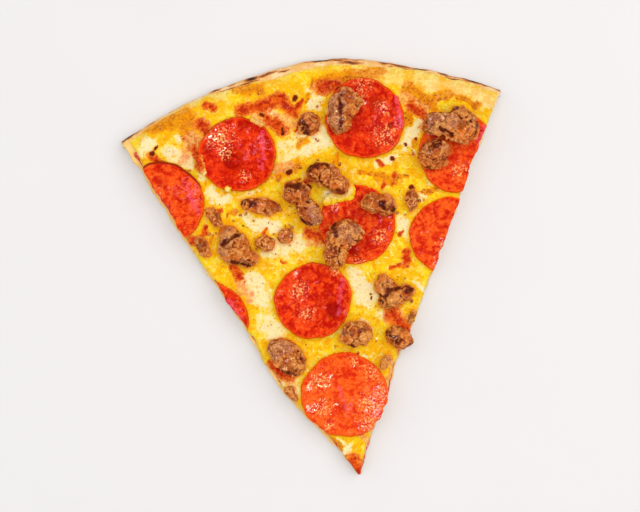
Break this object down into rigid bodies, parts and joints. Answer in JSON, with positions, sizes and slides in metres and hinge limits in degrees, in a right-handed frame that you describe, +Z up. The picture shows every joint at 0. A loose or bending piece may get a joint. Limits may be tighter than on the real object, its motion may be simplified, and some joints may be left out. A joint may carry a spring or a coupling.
{
  "type": "pepperoni pizza slice",
  "caption": "Wedge slice of thin-crust pizza with a low baked rim, tomato sauce, melted cheese, cupped pepperoni discs and browned sausage crumbles.",
  "frame": {"origin": "middle of the overall footprint box, on the flat underside of the dough", "axes": "+Z up out of the toppings, +Y from the slice's tip to its rim along the slice's middle, +X to the right when the rim points away"},
  "size_m": [0.192, 0.2088, 0.0216],
  "materials": {
    "baked_dough": "matt baked bread dough",
    "tomato_sauce": "moist cooked tomato sauce",
    "melted_cheese": "melted cheese with a film of oil",
    "pepperoni": "oily cured sausage",
    "sausage": "browned crumbled sausage"
  },
  "bodies": {
    "root": {"cheese": "melted_cheese", "crust": "baked_dough", "pepperoni_1": "pepperoni", "pepperoni_2": "pepperoni", "pepperoni_3": "pepperoni", "pepperoni_4": "pepperoni", "pepperoni_5": "pepperoni", "pepperoni_6": "pepperoni", "pepperoni_7": "pepperoni", "pepperoni_8": "pepperoni", "pepperoni_9": "pepperoni", "sausage_01": "sausage", "sausage_02": "sausage", "sausage_03": "sausage", "sausage_04": "sausage", "sausage_05": "sausage", "sausage_06": "sausage", "sausage_07": "sausage", "sausage_08": "sausage", "sausage_09": "sausage", "sausage_10": "sausage", "sausage_11": "sausage", "sausage_12": "sausage", "sausage_13": "sausage", "sausage_14": "sausage", "sausage_15": "sausage", "sausage_16": "sausage", "sausage_17": "sausage", "sausage_18": "sausage", "sausage_19": "sausage", "sausage_20": "sausage", "sausage_21": "sausage", "sausage_22": "sausage", "tomato_sauce": "tomato_sauce"}
  },
  "joints": []
}
